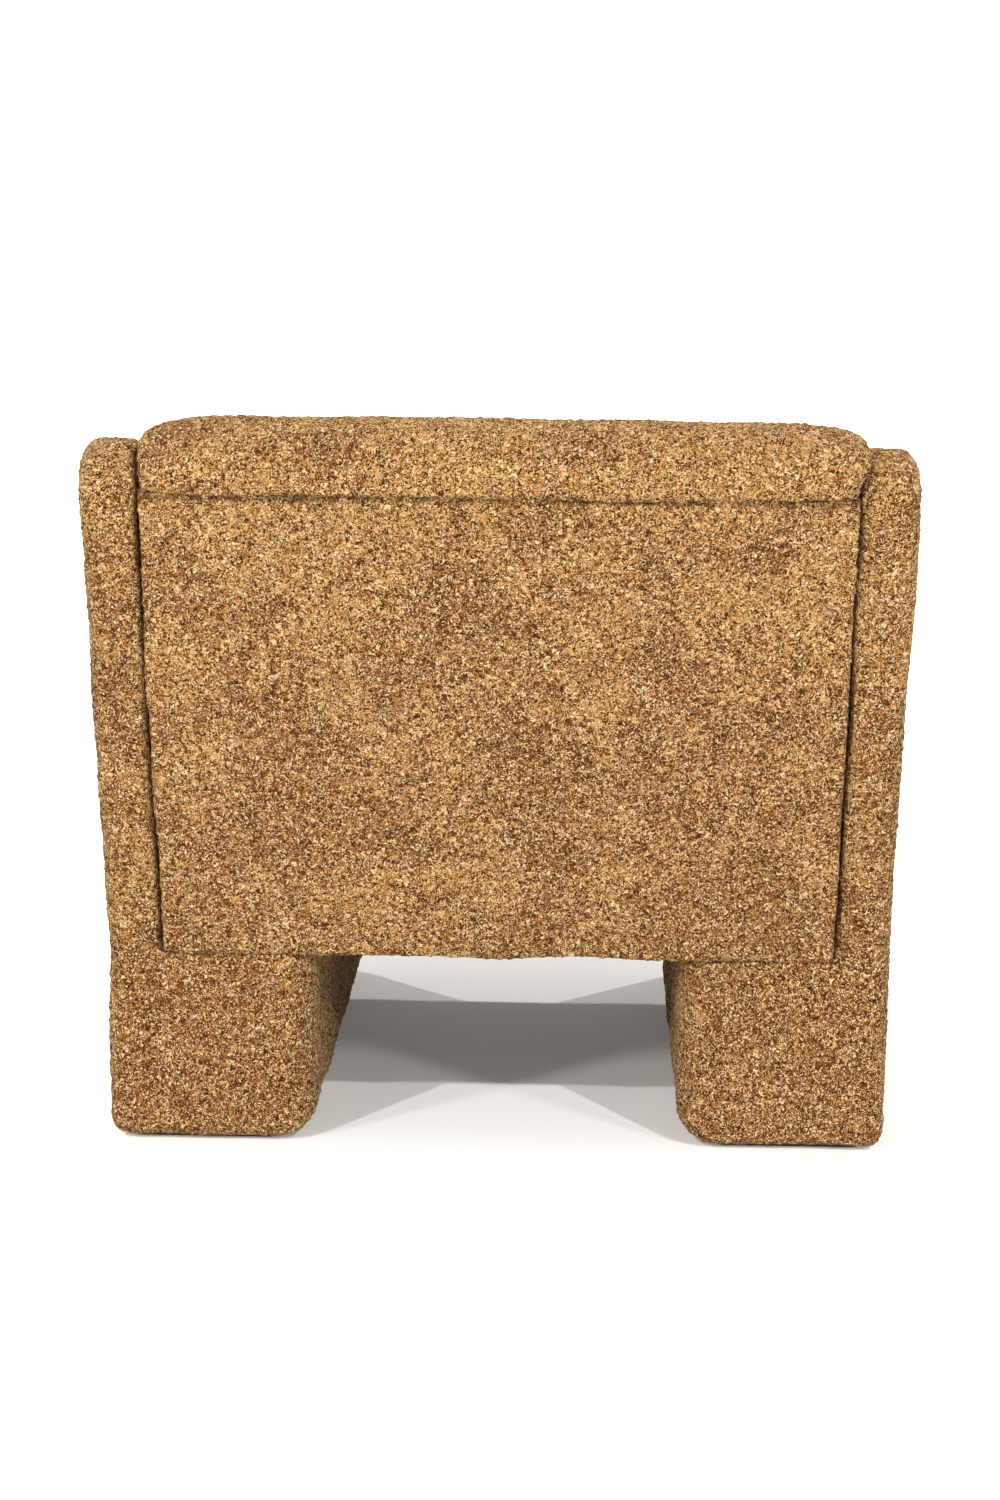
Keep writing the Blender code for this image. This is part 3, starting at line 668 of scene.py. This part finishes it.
def make_materials():
    return {
        "boucle": boucle_material(),
        "plywood": wood_material("birch_plywood", *PLYWOOD_TINTS, ring_scale=26.0, plies=True),
        "timber": wood_material("planed_timber", *TIMBER_TINTS, ring_scale=34.0),
        "hardboard": wood_material("brown_hardboard", *HARDBOARD_TINTS, ring_scale=60.0),
        "foam": foam_material(),
        "black_cloth": woven_material("dust_cloth_black", *DUST_CLOTH_TINTS, pitch=0.0016, depth=0.0004),
        "webbing": woven_material("webbing_black", *WEBBING_TINTS, pitch=0.0022, depth=0.0007),
        "lining": woven_material("lining_cloth", *LINING_TINTS, pitch=0.0012, depth=0.0003),
        "black_plastic": plastic_material(),
        "zinc_steel": steel_material(),
    }


def dress(obj, material):
    obj.data.materials.clear()
    obj.data.materials.append(material)


# ---------------------------------------------------------------- covers


def finish_cover(obj, body, nodes, materials, seed):
    """Gives a cover its loops and its place among the bodies."""
    raise_loops(obj, seed)
    for polygon in obj.data.polygons:
        polygon.use_smooth = True
    dress(obj, materials["boucle"])
    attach(obj, body)
    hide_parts(*nodes)


def side_shell(sign):
    """A side's closed outer form: a thin raked panel on a wide foot."""
    lean = math.tan(RAKE)
    bottom = SIDE_LOW.z
    rear_top = (REAR_PLANE + (SIDE_TOP - FOOT_TOP) * lean, SIDE_TOP)
    corners = [(REAR_PLANE, FOOT_TOP), rear_top, (FRONT_PLANE, ARM_FRONT_TOP), (FRONT_PLANE, FOOT_TOP)]
    upper = rounded(corners, [0, REAR_TOP_RADIUS, ARM_FRONT_RADIUS, 0], 10)
    outer_x, inner_x, foot_x = sign * HALF_WIDTH, sign * INNER_FACE, sign * FOOT_INNER
    target = bmesh.new()

    def vertex(x, point):
        return target.verts.new((x, *point))

    outer = [vertex(outer_x, point) for point in upper]
    inner = [vertex(inner_x, point) for point in upper]
    low_outer = [vertex(outer_x, (y, bottom)) for y in (FRONT_PLANE, REAR_PLANE)]
    low_foot = [vertex(foot_x, (y, bottom)) for y in (FRONT_PLANE, REAR_PLANE)]
    high_foot = [vertex(foot_x, (y, FOOT_TOP)) for y in (FRONT_PLANE, REAR_PLANE)]
    target.faces.new([*low_outer, *outer])
    target.faces.new(inner)
    for index in range(len(upper) - 1):
        target.faces.new((outer[index], outer[index + 1], inner[index + 1], inner[index]))
    target.faces.new((low_outer[0], outer[-1], inner[-1], high_foot[0], low_foot[0]))
    target.faces.new((low_outer[1], outer[0], inner[0], high_foot[1], low_foot[1]))
    target.faces.new((*low_foot, *reversed(low_outer)))
    target.faces.new((*low_foot, *reversed(high_foot)))
    target.faces.new((high_foot[0], high_foot[1], inner[0], inner[-1]))
    return target


def side_rounding(sign):
    """How far each of a side's edges is rounded, as a share of the widest."""

    def all_at(ends, axis, place):
        return all(abs(end[axis] - place) < NEAR for end in ends)

    def weight(*ends):
        across = abs(ends[0].x - ends[1].x) > NEAR
        if all_at(ends, 2, FOOT_TOP) or (across and not all_at(ends, 2, SIDE_LOW.z)):
            return 0.0
        if all_at(ends, 0, sign * FOOT_INNER):
            return FOOT_EDGE
        if all_at(ends, 0, sign * INNER_FACE):
            return INNER_EDGE
        if all_at(ends, 0, sign * HALF_WIDTH):
            return OUTER_EDGE
        return OTHER_EDGE

    return weight


def crown_side(obj, sign):
    """Makes a side's padding stand fuller in the middle of its faces than at their edges."""
    points = points_of(obj)
    normals = normals_of(obj)
    y, z = points[:, 1], points[:, 2]
    lean = math.tan(RAKE)
    rear_top = REAR_PLANE + (SIDE_TOP - FOOT_TOP) * lean
    slope = (SIDE_TOP - ARM_FRONT_TOP) / (rear_top - FRONT_PLANE)
    margins = (
        y - FRONT_PLANE,
        REAR_PLANE + np.maximum(z - FOOT_TOP, 0) * lean - y,
        z - SIDE_LOW.z,
        ARM_FRONT_TOP + (y - FRONT_PLANE) * slope - z,
    )
    middle = np.ones(len(points))
    for margin in margins:
        middle *= smooth_step(margin, -0.02, 0.12)
    outward = np.clip(normals[:, 0] * sign, 0, 1)
    above_seat = smooth_step(z, 0.36, 0.46)
    inward = np.clip(-normals[:, 0] * sign, 0, 1) * above_seat
    points[:, 0] += sign * middle * (SIDE_CROWN * outward - INNER_CROWN * inward)
    across = (np.abs(points[:, 0]) - INNER_FACE) / SIDE_THICKNESS
    above_foot = smooth_step(z, 0.16, 0.26)
    ridge = np.clip(4 * across * (1 - across), 0, 1) * above_foot
    upward = np.clip(normals[:, 2], 0, 1)
    rim = np.clip(normals[:, 1], 0, 1) + upward
    moved = points + normals * (STRIP_CROWN * (ridge * rim)[:, None])
    moved[:, 2] += smooth_step(z, 0.56, SIDE_TOP) * TOP_FULLNESS * upward
    move_points(obj, moved)


def make_side(name, sign, materials, seed):
    obj = mesh_object(name + "_side_upholstery", side_shell(sign))
    round_edges(obj, SIDE_ROUNDING, 6, side_rounding(sign))
    remesh_evenly(obj, size=0.0034, smoothing=5)
    crown_side(obj, sign)
    finish_cover(obj, "frame", [name + "_side_cover"], materials, seed)


def sink_seam(obj):
    """Draws a cover in along the seam below the roll, and keeps where it does for the material's painted
    shade along the seam.
    """
    points = points_of(obj)
    depth, rise = upright_place(points)
    pull = np.exp(-((rise - SEAM_RISE) / ROLL_SEAM_WIDTH) ** 2) * smooth_step(depth, -0.006, 0.0)
    pull *= ROLL_SEAM_EVEN + ROLL_SEAM_WAVER * wander(points, ROLL_SEAM_LENGTH, seed=5)
    points[:, 1] -= ROLL_SEAM_DEPTH * pull * math.cos(RAKE)
    points[:, 2] += ROLL_SEAM_DEPTH * pull * math.sin(RAKE)
    move_points(obj, points)
    # the seam's pull is kept for the material to paint shade along the seam
    store_values(obj, "seam", np.clip(pull, 0, 1))


def make_outside_back(materials):
    """The panel across the back, slightly proud of the feet, with its edges turned under."""
    half = PANEL_HIGH.x + PANEL_OVERHANG
    low = (-half, PANEL_FRONT, PANEL_FOOT_RISE)
    high = (half, PANEL_REAR, SEAM_RISE + SEAM_LAP)
    obj = mesh_object("outside_back_upholstery", lean_back(box(low, high)))
    round_edges(obj, width=0.0042, segments=3)
    remesh_evenly(obj, size=0.0023, smoothing=2)
    sink_seam(obj)
    finish_cover(obj, "frame", ["outside_back_cover"], materials, seed=31)


def shifted(corners, distances):
    """Moves each edge of an anticlockwise outline inward by its own distance."""
    lines = []
    for index, distance in enumerate(distances):
        first = Vector(corners[index])
        along = (Vector(corners[(index + 1) % len(corners)]) - first).normalized()
        lines.append((first + Vector((-along.y, along.x)) * distance, along))
    moved = []
    for index, (point, along) in enumerate(lines):
        other, towards = lines[index - 1]
        gap = point - other
        cross = towards.x * along.y - towards.y * along.x
        reach = (gap.x * along.y - gap.y * along.x) / cross
        moved.append(other + towards * reach)
    return moved


def cushion_stations():
    """The back cushion's outlines in (depth, rise), hooked over the top rail, smaller towards its ends."""
    for step in range(END_STEPS + 1):
        distance = END_LENGTH * (1 - step / END_STEPS) ** 2
        tight = max(1 - distance / END_CORNER, 0)
        share = 0.5 * (1 - math.sqrt(1 - tight ** 2)) + 0.5 * (1 - distance / END_LENGTH) ** 2
        outline = shifted(CUSHION_OUTLINE, [share * inset for inset in CUSHION_INSETS])
        radii = [radius - share * less for radius, less in CUSHION_RADII]
        yield CUSHION_HIGH.x - distance, rounded(outline, radii, 8)


def cushion_shape():
    """The back cushion's closed form: its stations joined from one end to the other."""
    stations = list(cushion_stations())
    return lofted([(-x, outline) for x, outline in reversed(stations)] + stations)


def upright_place(points):
    """(depth, rise) of world points in the back's raked frame."""
    y, z = points[:, 1] - REAR_PLANE, points[:, 2] - FOOT_TOP
    depth = y * math.cos(RAKE) - z * math.sin(RAKE)
    rise = y * math.sin(RAKE) + z * math.cos(RAKE)
    return depth, rise


def back_caps(points):
    """How far the back cushion may swell: little on the roll, more on the face that is leaned on."""
    depth, rise = upright_place(points)
    face = smooth_step(-depth, 0.07, 0.13) * (1 - smooth_step(rise, 0.42, 0.54))
    rear = smooth_step(depth, -0.03, 0.0)
    return OTHER_SWELL + FACE_SWELL * face - REAR_HOLD * rear


def settle_roll(obj):
    """Presses the roll's ends against the sides, one of them over the side's edge."""
    points = points_of(obj)
    depth, rise = upright_place(points)
    high = smooth_step(rise, SEAM_RISE + 0.004, SEAM_RISE + 0.040)
    end = smooth_step(-points[:, 0], *END_FADE)
    points[:, 0] -= ROLL_BULGE * high * end
    points[:, 0] += ROLL_PRESS * high * smooth_step(points[:, 0], *END_FADE)
    points[:, 1] += ROLL_LEAN * high * end * smooth_step(depth, -0.03, 0.0)
    limit = INNER_FACE - 0.0005
    low = 1 - smooth_step(rise, SEAM_RISE - 0.03, SEAM_RISE + 0.01)
    clipped = np.clip(points[:, 0], -limit, limit)
    points[:, 0] += (clipped - points[:, 0]) * low
    middle = 1 - (points[:, 0] / CUSHION_HIGH.x) ** 2
    points[:, 2] += ROLL_CROWN * np.clip(middle, 0, 1) * smooth_step(rise, 0.50, 0.56)
    move_points(obj, points)


def make_back_cushion(materials):
    obj = mesh_object("back_cushion", lean_back(cushion_shape()))
    swell(obj, 0.0060, back_caps)
    settle_roll(obj)
    remesh_evenly(obj, size=0.0031, smoothing=3)
    sink_seam(obj)
    finish_cover(obj, "frame", ["back_cushion_cover", "back_foam"], materials, seed=47)


def seat_caps(points):
    """The seat swells on top and at its front, and not where it lies on its deck."""
    top = smooth_step(points[:, 2], SEAT_LOW.z + 0.004, SEAT_LOW.z + 0.050)
    return SEAT_REST + SEAT_SWELL * top


def make_seat_cushion(materials):
    half = SEAT_HIGH.x
    lean = math.tan(RAKE)
    face_y = REAR_PLANE - BACK_THICKNESS / math.cos(RAKE) - SEAT_BACK_GAP
    low, high = SEAT_LOW.z, SEAT_HIGH.z - SEAT_TOP_ROOM
    front = SEAT_LOW.y + SEAT_FRONT_ROOM
    corners = [
        (front, low),
        (face_y + (low - FOOT_TOP) * lean, low),
        (face_y + (high - FOOT_TOP) * lean, high - SEAT_FALL),
        (front, high),
    ]
    outline = rounded(corners, SEAT_RADII, 8)
    obj = mesh_object("seat_cushion", lofted([(-half + 0.001, outline), (half - 0.001, outline)]))
    round_edges(obj, SEAT_ROUNDING, 4)
    swell(obj, 0.0065, seat_caps)
    points = points_of(obj)
    limit = INNER_FACE - 0.0008
    points[:, 0] = np.clip(points[:, 0], -limit, limit)
    points[:, 2] = np.maximum(points[:, 2], low)
    move_points(obj, points)
    remesh_evenly(obj, size=0.0034, smoothing=3)
    above, below = SEAT_SEAMS
    cut_seams(obj, [low + above, SEAT_HIGH.z - below])
    finish_cover(obj, "seat", ["seat_cushion_cover", "seat_foam"], materials, seed=59)


def cut_seams(obj, heights):
    """Pulls the cover in along level seams round a cushion's border."""
    points = points_of(obj)
    normals = normals_of(obj)
    level = 1 - np.abs(normals[:, 2])
    pull = np.zeros(len(points))
    for height in heights:
        pull += np.exp(-((points[:, 2] - height) / SEAM_WIDTH) ** 2)
    move_points(obj, points - normals * (SEAM_DEPTH * pull * smooth_step(level, 0.3, 0.7))[:, None])


def make_apron(materials):
    obj = mesh_object("front_apron_upholstery", box(APRON_LOW, APRON_HIGH))
    round_edges(obj, width=0.0055, segments=3)
    remesh_evenly(obj, size=0.0025, smoothing=3)
    finish_cover(obj, "frame", ["front_apron_cover"], materials, seed=67)


def dress_nodes(materials):
    """Gives every bare CAD node the finish that the record names for it."""
    slots = {entry["node"]: entry["material_slot"] for entry in frame["record"]["subparts"]}
    for name, obj in frame["nodes"].items():
        dress(obj, materials[slots[name]])


# ---------------------------------------------------------------- studio


def make_floor():
    """A white floor. For the camera it glows away from the chair, so that far shadows fade out."""
    bpy.ops.mesh.primitive_plane_add(size=FLOOR_SIZE, location=(0, 0, 0))
    floor = bpy.context.object
    floor.name = "studio_floor"
    material, shader, node, link = new_material("studio_white")
    shader.inputs["Base Color"].default_value = FLOOR_WHITE
    shader.inputs["Roughness"].default_value = 0.9
    shader.inputs["Specular IOR Level"].default_value = 0.0
    axes = node("SeparateXYZ", links={0: node("TexCoord").outputs["Object"]})
    beside = math_of(node, "ABSOLUTE", axes.outputs[0])
    away = 0.0
    along = axes.outputs[1]
    for fade, place in ((FADE_SIDEWAYS, beside), (FADE_BEHIND, along), (FADE_BEFORE, along)):
        rise = node("MapRange", fade, {"Value": place}, interpolation_type="SMOOTHSTEP")
        away = math_of(node, "MAXIMUM", rise.outputs[0], away)
    glow = node("MapRange", FLOOR_GLOW, {"Value": away})
    seen = math_of(node, "MULTIPLY", node("LightPath").outputs["Is Camera Ray"], glow.outputs[0])
    link(seen, "Emission Strength")
    shader.inputs["Emission Color"].default_value = FLOOR_TINT
    floor.data.materials.append(material)


def make_light(name, azimuth, elevation, width, strength):
    """A distant lamp, aimed down at the chair."""
    data = bpy.data.lights.new(name, "SUN")
    data.angle = width
    data.energy = strength
    lamp = bpy.data.objects.new(name, data)
    scene.collection.objects.link(lamp)
    across = math.cos(elevation)
    towards = Vector((math.sin(azimuth) * across, math.cos(azimuth) * across, math.sin(elevation)))
    lamp.location = towards * LAMP_DISTANCE
    lamp.rotation_euler = towards.to_track_quat("Z", "Y").to_euler()


def make_lights():
    """Lamps round the studio, and white walls, brightest near the floor. The camera sees them pure white."""
    world = bpy.data.worlds.new("studio")
    scene.world = world
    world.use_nodes = True
    tree = world.node_tree
    walls = tree.nodes["Background"]
    walls.inputs["Color"].default_value = (1.0, 1.0, 1.0, 1.0)
    direction = tree.nodes.new("ShaderNodeTexCoord")
    axes = tree.nodes.new("ShaderNodeSeparateXYZ")
    tree.links.new(direction.outputs["Generated"], axes.inputs[0])
    level = tree.nodes.new("ShaderNodeMapRange")
    for name, value in WALL_LIGHT.items():
        level.inputs[name].default_value = value
    tree.links.new(axes.outputs[2], level.inputs["Value"])
    path = tree.nodes.new("ShaderNodeLightPath")
    seen = tree.nodes.new("ShaderNodeMix")
    seen.inputs["B"].default_value = 1.0
    tree.links.new(path.outputs["Is Camera Ray"], seen.inputs["Factor"])
    tree.links.new(level.outputs[0], seen.inputs["A"])
    tree.links.new(seen.outputs["Result"], walls.inputs["Strength"])
    for name, azimuth, elevation, width, strength in STUDIO_LAMPS:
        make_light(name, math.radians(azimuth), math.radians(elevation), math.radians(width), strength)


def make_camera():
    data = bpy.data.cameras.new("camera")
    data.lens = LENS
    data.sensor_width = SENSOR
    camera = bpy.data.objects.new("camera", data)
    scene.collection.objects.link(camera)
    camera.location = CAMERA_PLACE
    forward = Vector((
        math.sin(CAMERA_YAW) * math.cos(CAMERA_PITCH),
        -math.cos(CAMERA_YAW) * math.cos(CAMERA_PITCH),
        -math.sin(CAMERA_PITCH),
    ))
    aim = forward.to_track_quat("-Z", "Y") @ Quaternion((0, 0, 1), CAMERA_ROLL)
    camera.rotation_euler = aim.to_euler()
    scene.camera = camera


def main():
    scene.view_settings.view_transform = "Standard"
    make_camera()
    make_lights()
    make_floor()
    materials = make_materials()
    dress_nodes(materials)
    make_side("left", 1, materials, 11)
    make_side("right", -1, materials, 23)
    make_outside_back(materials)
    make_back_cushion(materials)
    make_seat_cushion(materials)
    make_apron(materials)


main()
